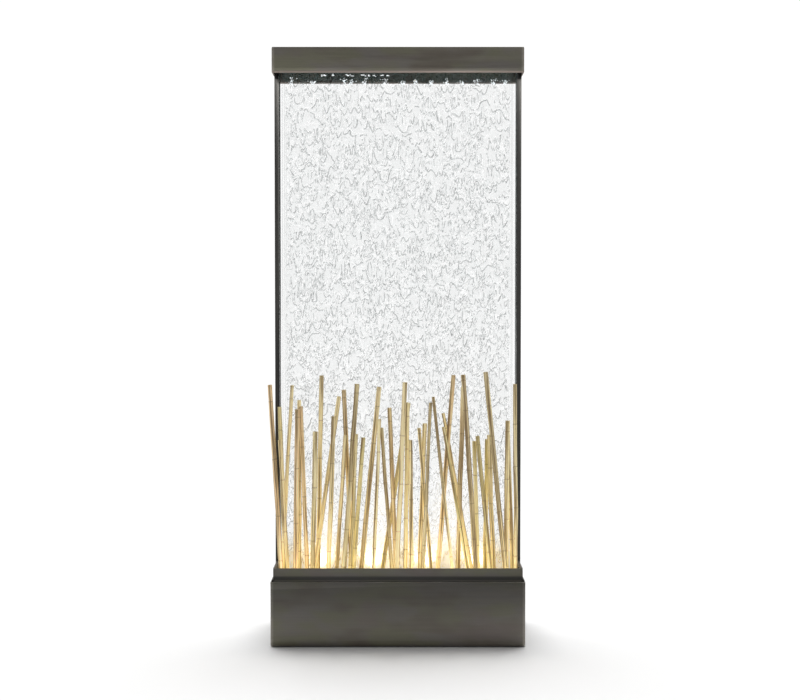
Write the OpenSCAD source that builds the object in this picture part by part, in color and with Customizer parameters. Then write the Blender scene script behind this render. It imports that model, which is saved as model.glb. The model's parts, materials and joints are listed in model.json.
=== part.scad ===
// Tabletop water wall fountain.
// Origin: centre of the base on the table. +Z is up, the front faces -Y. Millimetres.

/* [Overall] */
// Width over the base skirt
base_w = 305; // [300:1:315]
// Depth over the base skirt
base_d = 150; // [146:1:160]
// Height from the table to the top of the hood
overall_h = 720; // [560:1:800]
// Thickness of the base's sheet metal
sheet_t = 0.8; // [0.6:0.1:1]

/* [Base] */
// Height of the skirt's top edge
skirt_top = 78.4; // [76:0.2:84]
// Height of the skirt's bottom edge
skirt_gap = 1.5; // [1:0.1:2]
// Depth of the water tub, front to back
tub_d = 126; // [124:1:128]
// Height of the tub's rolled rim
rim_z = 92.5; // [90:0.5:100]
// Height of the tub's underside
tub_z = 24; // [20:1:26]
// Diameter of the rolled bead along the rim
bead = 2.4; // [2:0.1:2.6]

/* [Frame and glass] */
// Width of a side rail, seen from the front
rail_w = 5.4; // [5:0.1:6]
// Distance that a rail reaches in front of the glass's centre plane
rail_front = 9; // [8:0.5:10]
// Distance that a rail reaches behind the glass's centre plane
rail_back = 15; // [14:0.5:18]
// Thickness of the glass
glass_t = 5; // [4:0.5:5]
// Height of the glass's lower edge
glass_z = 58; // [56:1:60]

/* [Hood] */
// Height of the hood
hood_h = 31; // [30:0.5:36]
// Distance of the hood's front in front of the glass's centre plane
hood_front = 40; // [36:1:44]
// Distance of the hood's back behind the glass's centre plane
hood_back = 56; // [50:1:60]
// Thickness of the hood's sheet metal
hood_t = 0.6; // [0.5:0.1:0.8]

/* [Reeds] */
// Spacing of the rows of reeds, front to back
row_pitch = 6.3; // [6.2:0.1:6.4]
// Position of the front row
row_1_y = -55.5; // [-56:0.1:-55]
// Height of the reeds' feet, inside the foam
reed_foot_z = 52; // [51:1:54]
// Forward lean of the front row in degrees
front_lean = 2; // [0:0.5:2.5]
// Radius of a reed's tip as a share of its foot's diameter
tip_share = 0.47; // [0.4:0.01:0.5]

/* [Water and light] */
// Outer diameter of the spray bar
bar_d = 10; // [9:0.5:10]
// Number of spray holes
bar_holes = 24; // [10:1:26]
// Outer diameter of a lamp housing
lamp_d = 12; // [10:0.5:13]
// Spacing of the lamps
lamp_pitch = 64; // [50:1:70]

/* [Hidden] */
$fn = 48;
eps = 0.01;
skirt_x = base_w / 2;
skirt_y = base_d / 2;
skirt_in_x = skirt_x - sheet_t;
skirt_in_y = skirt_y - sheet_t;
floor_t = 1.2;
floor_z = skirt_gap + sheet_t;
floor_top = floor_z + floor_t;

rail_x1 = skirt_in_x - 0.25;
rail_x0 = rail_x1 - rail_w;
tongue_t = 1;
tub_x = rail_x1 - tongue_t - 0.1;
tub_y = tub_d / 2;
tub_in_x = tub_x - sheet_t;
tub_in_y = tub_y - sheet_t;
tub_floor = tub_z + sheet_t;
rail_z0 = rim_z + 0.5;
rail_z1 = overall_h - 14;
rail_screw_places = [[-6.2, 84], [8, 72]];

glass_x = tub_in_x - 0.45;
glass_z1 = rail_z1 - 2;
groove_x = glass_x + 1.1;
groove_y = glass_t / 2 + 1;
duct = [3.2, 8.2];
duct_x = rail_x0 + 0.95 + duct[0] / 2;
duct_y = 9.4;
port = [rail_x1 - 2.75, -6.2];

hood_x = rail_x1 + 0.15 + hood_t;
hood_z0 = overall_h - hood_h;
hood_under = overall_h - hood_t;
hem = 1.2;
beam_z = overall_h - 8;
beam_h = 5.4;

bar_y = -16;
bar_z = overall_h - 16;
bar_x = 143;

lamp_y = -12;
lamp_z = 61.5;
lamp_h = 16.5;
lamps = [for (i = [-1.5:1.5]) i * lamp_pitch];

pump_x = 85;
pump_y = 36;
pump_z = 46;
dial_gap = 0.2;

foam_z = 48;
foam_h = 24;
foam_y0 = -59;
foam_y1 = -20.4;
tray_x = 146.8;

inlet_x = 95;
inlet_z = 14;
gland_z = 80;
pump_gland_x = 110;
lamp_gland_x = 124;

// Reeds: foot and tip across the width, both at rim height and at the tip,
// then the tip's height, the row counted from the front, and the diameter.
reeds = [
    [-141.3, -153.3, 314, 0, 5.7], [-141.5, -128.3, 312, 3, 4.6], [-137.8, -144.4, 285, 4, 5.2],
    [-134.3, -142.6, 246, 2, 5.4], [-124.2, -120.9, 284, 1, 6.0], [-120.9, -120.9, 293, 5, 4.9],
    [-111.0, -117.3, 287, 2, 5.2], [-101.3, -71.7, 298, 4, 5.4], [-103.1, -99.5, 257, 1, 6.0],
    [-98.1, -93.4, 323, 5, 5.7], [-83.9, -77.7, 275, 2, 5.7], [-74.5, -64.0, 251, 3, 4.9],
    [-65.0, -48.9, 315, 0, 6.0], [-56.8, -65.9, 306, 4, 5.7], [-57.6, -50.4, 254, 1, 4.9],
    [-53.6, -41.8, 249, 2, 5.2], [-44.3, -22.8, 310, 3, 6.0], [-29.2, -22.3, 272, 1, 4.3],
    [-17.6, 13.0, 289, 5, 5.4], [-7.4, -19.8, 261, 2, 4.6], [-2.8, -10.4, 284, 4, 5.4],
    [-1.5, 8.5, 317, 0, 6.0], [9.0, 11.8, 291, 3, 5.2], [16.2, 15.1, 246, 2, 5.2],
    [26.8, 32.8, 265, 4, 5.7], [31.1, 39.2, 292, 1, 4.2], [40.0, 25.6, 260, 3, 4.3],
    [49.0, 67.7, 324, 4, 5.7], [65.5, 42.4, 299, 1, 4.0], [73.1, 79.2, 310, 3, 6.0],
    [84.0, 55.1, 262, 2, 4.3], [89.5, 55.3, 277, 5, 4.3], [94.0, 78.0, 326, 0, 6.0],
    [97.1, 92.7, 244, 3, 5.2], [107.2, 109.0, 245, 5, 5.4], [112.1, 96.2, 251, 2, 5.4],
    [116.4, 111.4, 251, 4, 5.7], [132.1, 133.3, 269, 3, 6.0], [129.8, 105.4, 329, 1, 6.0],
    [140.6, 134.4, 262, 5, 5.4], [143.3, 141.3, 314, 2, 5.0]
];

// ---------------------------------------------------------------- helpers

// Rectangle w by d with round corners, centred.
module round_rect(w, d, r) {
    square([w - 2 * r, d], center = true);
    square([w, d - 2 * r], center = true);
    for (x = [-1, 1], y = [-1, 1])
        translate([x * (w / 2 - r), y * (d / 2 - r)]) circle(r);
}

// Upright slab with round corners, centred in X and Y, from z = 0.
module slab(w, d, h, r) {
    linear_extrude(h) round_rect(w, d, r);
}

// Box given by its lowest and highest corners.
module block(low, high) {
    translate(low) cube(high - low);
}

// Upright ring from z = 0.
module ring(ro, ri, h) {
    difference() {
        cylinder(r = ro, h = h);
        translate([0, 0, -1]) cylinder(r = ri, h = h + 2);
    }
}

// Rod between x0 and x1 along X, through (y, z).
module rod_x(x0, x1, y, z, r) {
    translate([x0, y, z]) rotate([0, 90, 0]) cylinder(r = r, h = x1 - x0);
}

// Rod between y0 and y1 along Y, through (x, z).
module rod_y(y0, y1, x, z, r) {
    translate([x, y0, z]) rotate([-90, 0, 0]) cylinder(r = r, h = y1 - y0);
}

// Rod between z0 and z1, through (x, y).
module rod_z(z0, z1, x, y, r) {
    translate([x, y, z0]) cylinder(r = r, h = z1 - z0);
}

// Copies of the child at each of the given points.
module at(points) {
    for (p = points) translate(p) children();
}

// Pan-head machine screw: shank up from the origin, head below it.
module screw(shank_r, shank_l, head_r, head_h) {
    cylinder(r = shank_r, h = shank_l);
    translate([0, 0, -head_h]) difference() {
        cylinder(r = head_r, h = head_h);
        for (turn = [0, 90]) rotate([0, 0, turn])
            translate([-head_r * 0.6, -0.3, -eps]) cube([head_r * 1.2, 0.6, head_h / 2]);
    }
}

// Smooth curve through the points, with n steps from one point to the next.
function curve_at(a, b, c, d, t) =
    0.5 * (2 * b + (c - a) * t + (2 * a - 5 * b + 4 * c - d) * t * t
        + (3 * b - a - 3 * c + d) * t * t * t);
function smooth(p, n) = [
    for (i = [0:len(p) - 2], s = [0:n - 1])
        curve_at(p[max(i - 1, 0)], p[i], p[i + 1], p[min(i + 2, len(p) - 1)], s / n),
    p[len(p) - 1]
];
function unit(v) = v / norm(v);
function heading(p, i) = unit(p[min(i + 1, len(p) - 1)] - p[max(i - 1, 0)]);

// The points of a tube's section at point i of its path.
function section(p, i, r, sides, side_on) =
    let (t = heading(p, i), n = unit(cross(side_on, t)), b = cross(t, n))
    [for (k = [0:sides - 1]) p[i] + r * (cos(360 * k / sides) * n + sin(360 * k / sides) * b)];

// Solid cable swept along a path. side_on is a direction that the path never takes.
module cable(path, r, side_on, sides = 8) {
    n = len(path);
    points = [for (i = [0:n - 1]) each section(path, i, r, sides, side_on)];
    walls = [for (i = [0:n - 2], k = [0:sides - 1]) let (j = (k + 1) % sides)
        [i * sides + k, (i + 1) * sides + k, (i + 1) * sides + j, i * sides + j]];
    first = [for (k = [0:sides - 1]) k];
    last = [for (k = [sides - 1:-1:0]) (n - 1) * sides + k];
    polyhedron(points, concat([first], walls, [last]), convexity = 6);
}

// Hollow hose swept along a path.
module hose(path, ro, ri, side_on, sides = 12) {
    n = len(path);
    m = n * sides;
    outer = [for (i = [0:n - 1]) each section(path, i, ro, sides, side_on)];
    inner = [for (i = [0:n - 1]) each section(path, i, ri, sides, side_on)];
    out_walls = [for (i = [0:n - 2], k = [0:sides - 1]) let (j = (k + 1) % sides)
        [i * sides + k, (i + 1) * sides + k, (i + 1) * sides + j, i * sides + j]];
    in_walls = [for (i = [0:n - 2], k = [0:sides - 1]) let (j = (k + 1) % sides)
        [m + i * sides + j, m + (i + 1) * sides + j, m + (i + 1) * sides + k, m + i * sides + k]];
    first = [for (k = [0:sides - 1]) let (j = (k + 1) % sides) [k, j, m + j, m + k]];
    last = [for (k = [0:sides - 1]) let (j = (k + 1) % sides, o = (n - 1) * sides)
        [m + o + k, m + o + j, o + j, o + k]];
    polyhedron(concat(outer, inner), concat(out_walls, in_walls, first, last), convexity = 6);
}

// ------------------------------------------------------------------- base

foot_places = [for (x = [-122, 122], y = [-52, 52]) [x, y, 0]];
standoff_places = [for (x = [-138, 0, 138], y = [-45, 45]) [x, y, 0]];

module base_skirt() {
    color("#57534a") difference() {
        union() {
            translate([0, 0, skirt_gap]) difference() {
                slab(base_w, base_d, skirt_top - skirt_gap - sheet_t, 1.6);
                translate([0, 0, sheet_t]) slab(base_w - 2 * sheet_t, base_d - 2 * sheet_t, skirt_top, 0.8);
                translate([0, 0, -1]) slab(base_w - 22, base_d - 22, 5, 3);
            }
            // the top edge: a plain sheet at the sides, folded in double at the front and back
            for (s = [-1, 1]) {
                block([min(s * skirt_x, s * skirt_in_x), -skirt_in_y, skirt_top - 2],
                      [max(s * skirt_x, s * skirt_in_x), skirt_in_y, skirt_top - 0.4]);
                block([-skirt_in_x, min(s * skirt_y, s * (skirt_y - 2 * sheet_t)), skirt_top - 9],
                      [skirt_in_x, max(s * skirt_y, s * (skirt_y - 2 * sheet_t)), skirt_top - sheet_t]);
                rod_x(-skirt_in_x, skirt_in_x, s * (skirt_y - sheet_t), skirt_top - sheet_t, sheet_t);
            }
        }
        rod_y(skirt_in_y - 1, skirt_y + 1, inlet_x, inlet_z, 4.1);
    }
}

module base_floor() {
    color("#77746c") difference() {
        translate([0, 0, floor_z]) slab(2 * skirt_in_x - 0.6, 2 * skirt_in_y - 0.6, floor_t, 0.6);
        at(foot_places) rod_z(1, 5, 0, 0, 1.55);
        at(standoff_places) rod_z(1, 5, 0, 0, 1.6);
    }
}

module rubber_feet() {
    color("#1b1b1b") at(foot_places) difference() {
        union() {
            cylinder(r1 = 9.4, r2 = 10, h = 0.8);
            translate([0, 0, 0.8]) cylinder(r = 10, h = floor_z - 0.8);
        }
        translate([0, 0, -1]) cylinder(r = 1.6, h = 5);
        translate([0, 0, -1]) cylinder(r = 3.2, h = 2.3);
    }
}

module foot_screws() {
    color("#8d8d8d") at(foot_places) translate([0, 0, 1.3]) screw(1.5, 5, 2.8, 1);
}

module tub_standoffs() {
    color("#2a2a2c") at(standoff_places) difference() {
        translate([0, 0, floor_top]) cylinder(r = 5, h = tub_z - floor_top);
        rod_z(2, 13, 0, 0, 1.55);
    }
}

module standoff_screws() {
    color("#8d8d8d") at(standoff_places) translate([0, 0, floor_z]) screw(1.5, 9, 2.8, 1);
}

module reservoir_tub() {
    lip_z = rim_z - bead;
    color("#5f5c53") difference() {
        union() {
            translate([0, 0, tub_z]) difference() {
                slab(2 * tub_x, 2 * tub_y, rim_z - tub_z, 2);
                translate([0, 0, sheet_t]) slab(2 * tub_in_x, 2 * tub_in_y, 90, 1.2);
            }
            // the rim is rolled inwards all round
            translate([0, 0, lip_z]) difference() {
                slab(2 * tub_x - 1, 2 * tub_y - 1, bead, 1.5);
                translate([0, 0, -1]) slab(2 * (tub_x - bead), 2 * (tub_y - bead), bead + 2, 1);
            }
        }
        // the roll stops at each rail, where the glass and the riser pass
        for (s = [-1, 1])
            block([min(s * tub_in_x, s * (tub_in_x - 8)), -rail_front - 0.6, lip_z - 1],
                  [max(s * tub_in_x, s * (tub_in_x - 8)), rail_back + 0.6, rim_z + 1]);
        for (s = [-1, 1], p = rail_screw_places)
            rod_x(s * tub_x - 3, s * tub_x + 3, p[0], p[1], 1.6);
        for (x = [pump_gland_x, lamp_gland_x])
            rod_y(tub_in_y - 1, tub_y + 1, x, gland_z, 3.1);
    }
}

module skirt_spacers() {
    color("#2a2a2c") for (x = [-100, 60], s = [-1, 1])
        block([x, min(s * tub_y, s * skirt_in_y), 28], [x + 14, max(s * tub_y, s * skirt_in_y), 48]);
}

// ------------------------------------------------------- power and cables

module dc_inlet() {
    color("#161616") difference() {
        union() {
            rod_y(55, skirt_y, inlet_x, inlet_z, 4);
            rod_y(skirt_y, skirt_y + 1.2, inlet_x, inlet_z, 5.5);
        }
        rod_y(66.7, skirt_y + 2, inlet_x, inlet_z, 2.75);
        rod_y(60, 67, inlet_x, inlet_z, 1.05);
    }
}

module dc_inlet_pin() {
    color("#c9b37a") {
        rod_y(60, skirt_y - 0.6, inlet_x, inlet_z, 1);
        translate([inlet_x, skirt_y - 0.6, inlet_z]) sphere(1);
    }
}

module dc_inlet_nut() {
    color("#b5b5b5") difference() {
        translate([inlet_x, skirt_in_y - 3, inlet_z]) rotate([-90, 0, 0]) cylinder(r = 6.4, h = 3, $fn = 6);
        rod_y(60, 80, inlet_x, inlet_z, 4.05);
    }
}

module wire_splitter() {
    color("#222326") difference() {
        translate([113, 42, floor_top]) slab(24, 14, 11.5, 2);
        for (x = [110, 122]) rod_y(48, 56, x, 9, 1.6);
        rod_x(100, 103.5, 42, 9, 1.6);
    }
}

supply_route = [[95, 54, 14], [95, 50, 12.8], [95.4, 45, 10.5], [98, 42, 9.2], [103.4, 42, 9]];
pump_route = [[110, 48.1, 9], [110, 56, 9], [110, 64, 11], [110, 68.4, 18], [110, 68.6, 30],
    [110, 68.6, 60], [110, 68.4, 73], [110, 65.5, 79.4], [110, 61, 80], [109.5, 57.4, 77.5],
    [108, 55.8, 70], [106, 56.6, 60], [104.5, 56, 51], [104, 53, 46.6]];
lamp_route = [[122, 48.1, 9], [122, 56, 9], [122.5, 64, 11], [124, 68.4, 18], [124, 68.6, 30],
    [124, 68.6, 60], [124, 68.4, 73], [124, 65.5, 79.4], [124, 61, 80], [124.5, 57.2, 77],
    [125, 54.5, 66], [124, 48, 50], [121, 38, 38], [118, 26, 30], [112, 12, 29], [105, 3, 32],
    [100, -6, 41], [94, -11, 52], [84, -12, 57], [60, -12, 57.8], [0, -12, 57.8],
    [-60, -12, 57.8], [-94, -12, 57.8]];

module supply_cable() { color("#151515") cable(smooth(supply_route, 4), 1.5, [0, 0.3, 1]); }

module pump_cable() { color("#151515") cable(smooth(pump_route, 3), 1.5, [1, 0.1, 0.05]); }

module lamp_cable() { color("#151515") cable(smooth(lamp_route, 3), 1.5, [0.15, 1, 0.7]); }

module cable_grommets() {
    color("#0f0f0f") for (x = [pump_gland_x, lamp_gland_x])
        translate([x, tub_in_y, gland_z]) rotate([-90, 0, 0]) difference() {
            union() {
                cylinder(r = 3.05, h = sheet_t);
                translate([0, 0, -1.2]) cylinder(r = 4.4, h = 1.2);
                translate([0, 0, sheet_t]) cylinder(r = 4.4, h = 1.2);
            }
            translate([0, 0, -3]) cylinder(r = 2.2, h = 8);
        }
}

// ------------------------------------------------------------------ frame

// Right-hand side rail: groove for the glass, water duct behind it, tongue outside the tub.
module rail() {
    difference() {
        union() {
            block([rail_x0, -rail_front, rail_z0], [rail_x1, rail_back, rail_z1]);
            block([rail_x1 - tongue_t, -rail_front, 30], [rail_x1, rail_back, rail_z0]);
        }
        block([rail_x0 - 1, -groove_y, rail_z0 - 1], [groove_x, groove_y, rail_z1 + 1]);
        block([duct_x - duct[0] / 2, duct_y - duct[1] / 2, rail_z0 - 1],
              [duct_x + duct[0] / 2, duct_y + duct[1] / 2, rail_z1 + 1]);
        rod_z(rail_z1 - 12, rail_z1 + 1, port[0], port[1], 1.25);
        for (p = rail_screw_places) rod_x(rail_x1 - 4, rail_x1 + 1, p[0], p[1], 1.5);
    }
}

module rail_right() { color("#33312e") rail(); }

module rail_left() { color("#33312e") mirror([1, 0, 0]) rail(); }

module rail_screws() {
    color("#8d8d8d") for (s = [0, 1], p = rail_screw_places)
        mirror([s, 0, 0]) translate([tub_in_x, p[0], p[1]]) rotate([0, 90, 0])
            screw(1.45, rail_x1 - tub_in_x - 0.1, 2.7, 1.2);
}

module top_bar() {
    color("#3c3a36") difference() {
        union() {
            block([-rail_x0 + 0.15, -4.5, rail_z1 - 8], [rail_x0 - 0.15, 4.5, beam_z]);
            for (s = [0, 1]) mirror([s, 0, 0])
                block([rail_x0 - 4, -8.6, rail_z1], [rail_x1, 4, rail_z1 + 2]);
        }
        block([-160, -glass_t / 2 - 0.1, rail_z1 - 9], [160, glass_t / 2 + 0.1, glass_z1 + 0.6]);
        for (s = [-1, 1]) rod_z(rail_z1 - 2, rail_z1 + 4, s * port[0], port[1], 1.4);
    }
}

module top_bar_screws() {
    color("#8d8d8d") for (s = [-1, 1])
        translate([s * port[0], port[1], rail_z1 + 2]) rotate([180, 0, 0]) screw(1.2, 11, 2.3, 1.6);
}

// ------------------------------------------------------------------ glass

module glass_pane() {
    color("#dfe9ea", 0.35) block([-glass_x, -glass_t / 2, glass_z], [glass_x, glass_t / 2, glass_z1]);
}

// Right-hand gasket, a channel over the glass's edge.
module glass_seal() {
    difference() {
        block([rail_x0 + 0.3, -groove_y, rail_z0], [groove_x, groove_y, glass_z1]);
        block([0, -glass_t / 2, rail_z0 - 1], [glass_x, glass_t / 2, glass_z1 + 1]);
    }
}

module glass_seal_right() { color("#8f9a96") glass_seal(); }

module glass_seal_left() { color("#8f9a96") mirror([1, 0, 0]) glass_seal(); }

module glass_foot() {
    color("#4a4843") difference() {
        union() {
            block([-146, -4.5, 52], [146, 4.5, glass_z + 8]);
            for (x = [-130, 0, 130]) block([x - 7, -4.5, tub_floor], [x + 7, 4.5, 52]);
        }
        block([-150, -glass_t / 2 - 0.1, glass_z - 2], [150, glass_t / 2 + 0.1, glass_z + 9]);
    }
}

module glass_pads() {
    color("#101010") for (x = [-90, 60])
        block([x, -glass_t / 2, glass_z - 2], [x + 30, glass_t / 2, glass_z]);
}

// ------------------------------------------------------------------- pump

// Children are drawn along the pump's axis: their +Z is +X, and z = 0 is at the given x.
module on_pump_axis(x) {
    translate([x, pump_y, pump_z]) rotate([0, 90, 0]) children();
}

chamber_x0 = pump_x - 15;
nozzle_x = pump_x - 7.5;
nozzle_top = pump_z + 22;

module pump_body() {
    color("#17181a") difference() {
        union() {
            translate([pump_x, pump_y, pump_z]) rotate([0, 90, 0]) slab(30, 32, 27, 6);
            on_pump_axis(chamber_x0) cylinder(r = 15, h = 15);
            rod_z(pump_z, nozzle_top, nozzle_x, pump_y, 4);
            rod_z(pump_z, pump_z + 16, nozzle_x, pump_y, 5.5);
        }
        on_pump_axis(chamber_x0 - 1) cylinder(r = 12, h = 15);
        on_pump_axis(pump_x - 2) cylinder(r = 6.6, h = 22);
        rod_z(pump_z, nozzle_top + 1, nozzle_x, pump_y, 2.6);
    }
}

module pump_cover() {
    color("#202226") on_pump_axis(chamber_x0 - 4) difference() {
        union() {
            cylinder(r = 15, h = 4);
            translate([0, 0, -5]) cylinder(r = 3, h = 6);
        }
        for (i = [0:5]) rotate([0, 0, 60 * i]) translate([4.5, -1.6, -1]) cube([7, 3.2, 8]);
        translate([0, 0, -1]) cylinder(r = 1.6, h = 8);
    }
}

module pump_shaft() {
    color("#e6e2d8") on_pump_axis(chamber_x0 - 4.8) cylinder(r = 1, h = 39.7);
}

module pump_bushes() {
    color("#3a3a3a") {
        on_pump_axis(chamber_x0 - 4.9) ring(1.55, 1.05, 4.4);
        on_pump_axis(pump_x + 18.6) ring(3, 1.05, 1.4);
    }
}

module impeller() {
    color("#3f6fa3") on_pump_axis(chamber_x0 + 1.4) difference() {
        union() {
            cylinder(r = 3, h = 14);
            translate([0, 0, 13]) cylinder(r = 6, h = 18.6);
            translate([0, 0, 9]) cylinder(r = 10.6, h = 1.2);
            for (i = [0:5]) rotate([0, 0, 60 * i]) translate([2, -0.6, 0]) cube([8.4, 1.2, 9.5]);
        }
        translate([0, 0, -1]) cylinder(r = 1.05, h = 40);
    }
}

module flow_dial() {
    color("#c7cdd1") on_pump_axis(chamber_x0 - 4 - dial_gap - 2) difference() {
        union() {
            cylinder(r = 13, h = 2);
            rotate([0, 0, 90]) translate([11, -2, 0]) cube([5, 4, 2]);
        }
        translate([0, 0, -1]) cylinder(r = 3.05, h = 4);
        for (i = [0:5]) rotate([0, 0, 60 * i]) translate([4.5, -1.6, -1]) cube([7, 3.2, 4]);
    }
}

module suction_cups() {
    color("#101010") for (x = [pump_x + 4, pump_x + 23], y = [pump_y - 11, pump_y + 11])
        translate([x, y, tub_floor]) {
            cylinder(r1 = 5, r2 = 2, h = 3);
            translate([0, 0, 2]) cylinder(r = 2, h = pump_z - 15 - tub_floor - 2);
        }
}

// ------------------------------------------------------------ water circuit

barb_z = 84;
barb_x = 126;
hose_route = [[nozzle_x, pump_y, nozzle_top - 5.5], [nozzle_x, pump_y, nozzle_top],
    [nozzle_x + 2.5, pump_y - 2, nozzle_top + 8], [nozzle_x + 10, pump_y - 8, barb_z - 4],
    [nozzle_x + 22, pump_y - 17, barb_z - 0.6], [nozzle_x + 36, duct_y + 1.2, barb_z],
    [barb_x, duct_y, barb_z], [barb_x + 8, duct_y, barb_z]];

module pump_hose() { color("#2c3033") hose(smooth(hose_route, 4), 5.6, 4.3, [0.35, 1, -0.25]); }

module hose_clamps() {
    color("#b9b9b9") {
        translate([nozzle_x, pump_y, nozzle_top - 5]) ring(6.8, 5.9, 3.6);
        translate([barb_x + 3, duct_y, barb_z]) rotate([0, 90, 0]) ring(6.8, 5.9, 4);
    }
}

module riser_elbow_lower() {
    color("#1d1f21") difference() {
        union() {
            block([136, duct_y - 4.6, barb_z - 6], [tub_in_x - 0.25, duct_y + 4.6, rail_z0]);
            block([duct_x - 1.5, duct_y - 4, rail_z0 - 0.4], [duct_x + 1.5, duct_y + 4, rail_z0 + 10]);
            rod_x(barb_x, 137, duct_y, barb_z, 4);
        }
        rod_x(barb_x - 1, duct_x - 2, duct_y, barb_z, 2.6);
        block([duct_x - 2.4, duct_y - 3, barb_z - 2], [duct_x - 0.4, duct_y + 3, rail_z0 + 0.4]);
        block([duct_x - 1.1, duct_y - 3.4, rail_z0 - 0.1], [duct_x + 1.1, duct_y + 3.4, rail_z0 + 11]);
    }
}

module riser_elbow_upper() {
    arm_z = hood_under - 1;
    block_x = 137;
    color("#1d1f21") difference() {
        union() {
            block([duct_x - 1.5, duct_y - 4, rail_z1 - 10], [duct_x + 1.5, duct_y + 4, rail_z1 + 1]);
            block([rail_x0 - 6, 4.8, rail_z1], [rail_x1, 14, arm_z]);
            block([rail_x0 - 6, bar_y - 7, beam_z + 0.2], [rail_x1, 14, arm_z]);
            block([block_x, bar_y - 7, bar_z - 7], [rail_x1, bar_y + 6.6, arm_z]);
        }
        rod_x(block_x - 1, bar_x + 1, bar_y, bar_z, bar_d / 2 + 0.05);
        rod_x(bar_x, duct_x + 1, bar_y, bar_z, 2);
        rod_z(bar_z, beam_z + 3, duct_x, bar_y, 1.8);
        rod_y(bar_y - 1.8, duct_y + 1.8, duct_x, beam_z + 3.2, 1.8);
        rod_z(rail_z1 - 11, beam_z + 3, duct_x, duct_y, 1);
    }
}

module spray_bar() {
    pitch = 2 * (bar_x - 12) / (bar_holes - 1);
    color("#26282a") difference() {
        rod_x(-bar_x, bar_x, bar_y, bar_z, bar_d / 2);
        rod_x(-bar_x - 1, bar_x + 1, bar_y, bar_z, bar_d / 2 - 1.2);
        for (i = [0:bar_holes - 1])
            translate([-bar_x + 12 + i * pitch, bar_y, bar_z]) rotate([-135, 0, 0]) cylinder(r = 0.8, h = 8);
    }
}

module spray_bar_cap() {
    color("#141414") {
        rod_x(-bar_x - 1.6, -bar_x, bar_y, bar_z, bar_d / 2 + 0.8);
        rod_x(-bar_x, -bar_x + 6, bar_y, bar_z, bar_d / 2 - 1.25);
    }
}

module spray_bar_clips() {
    color("#8a8a86") for (x = [-100, 6, 100]) {
        difference() {
            rod_x(x - 4, x + 4, bar_y, bar_z, bar_d / 2 + 1.6);
            rod_x(x - 5, x + 5, bar_y, bar_z, bar_d / 2 + 0.05);
            block([x - 5, bar_y - 9, bar_z - 9], [x + 5, bar_y + 2, bar_z - 2]);
        }
        block([x - 4, bar_y + bar_d / 2 + 0.6, bar_z - 3], [x + 4, -4.5, bar_z + 3]);
    }
}

// ------------------------------------------------------------------ lamps

module lamp_bracket() {
    color("#4a4843") difference() {
        union() {
            block([-120, lamp_y - 6.5, lamp_z - 1.5], [120, -4.5, lamp_z]);
            block([-120, -6, lamp_z - 1.5], [120, -4.5, lamp_z + 5]);
        }
        for (x = lamps) rod_z(lamp_z - 3, lamp_z + 3, x, lamp_y, 2.1);
    }
}

module lamp_housings() {
    r = lamp_d / 2;
    color("#8f8a7c") for (x = lamps) translate([x, lamp_y, lamp_z]) difference() {
        union() {
            cylinder(r = r - 1, h = lamp_h);
            for (z = [1:3:lamp_h - 4]) translate([0, 0, z]) cylinder(r = r, h = 1.4);
            translate([0, 0, lamp_h - 3]) cylinder(r = r, h = 3);
            translate([0, 0, -1.5]) cylinder(r = 2, h = 2);
        }
        translate([0, 0, 2]) cylinder(r = r - 2, h = lamp_h);
        translate([0, 0, lamp_h - 2]) cylinder(r = r - 1.1, h = 4);
        translate([0, 0, -2]) cylinder(r = 1.2, h = 6);
    }
}

module lamp_boards() {
    color("#e8e2c8") for (x = lamps) translate([x, lamp_y, lamp_z + 2]) {
        cylinder(r = lamp_d / 2 - 2.05, h = 1);
        translate([-1.4, -1.4, 1]) cube([2.8, 2.8, 1]);
    }
}

module lamp_lenses() {
    rim_r = lamp_d / 2 - 1.15;
    dome_r = 8;
    color("#fff2cc", 0.6) for (x = lamps) translate([x, lamp_y, lamp_z + lamp_h - 2]) {
        cylinder(r = rim_r, h = 1.6);
        translate([0, 0, 1.6]) intersection() {
            translate([0, 0, -6.2]) sphere(dome_r);
            cylinder(r = rim_r, h = 4);
        }
    }
}

// ------------------------------------------------------------------- hood

module hood_shell() {
    depth = hood_front + hood_back;
    mid_y = (hood_back - hood_front) / 2;
    color("#5d594f") {
        difference() {
            translate([0, mid_y, hood_z0]) union() {
                translate([0, 0, hem / 2]) slab(2 * hood_x, depth, hood_h - hem / 2 - 1, 1.2);
                translate([0, 0, hood_h - 1]) slab(2 * hood_x - 0.8, depth - 0.8, 1, 1);
            }
            translate([0, mid_y, hood_z0 - 1])
                slab(2 * (hood_x - hood_t), depth - 2 * hood_t, hood_h + 1 - hood_t, 0.6);
        }
        // the lower edge is folded in double at the front and back
        for (y = [-hood_front, hood_back]) {
            inset = y < 0 ? hem / 2 : -hem / 2;
            rod_x(-hood_x + 1, hood_x - 1, y + inset, hood_z0 + hem / 2, hem / 2);
            block([-hood_x + 1, y + inset - hem / 2, hood_z0 + hem / 2],
                  [hood_x - 1, y + inset + hem / 2, hood_z0 + 6]);
        }
    }
}

module hood_beams() {
    color("#3c3a36") for (x = [-118, 112])
        block([x, -hood_front + 3, beam_z], [x + 6, hood_back - 3, beam_z + beam_h]);
}

module hood_pads() {
    color("#101010") for (x = [-118, 112], y = [-hood_front + 4, hood_back - 12])
        block([x, y, beam_z + beam_h], [x + 6, y + 8, hood_under]);
}

// ------------------------------------------------------------------ reeds

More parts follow.
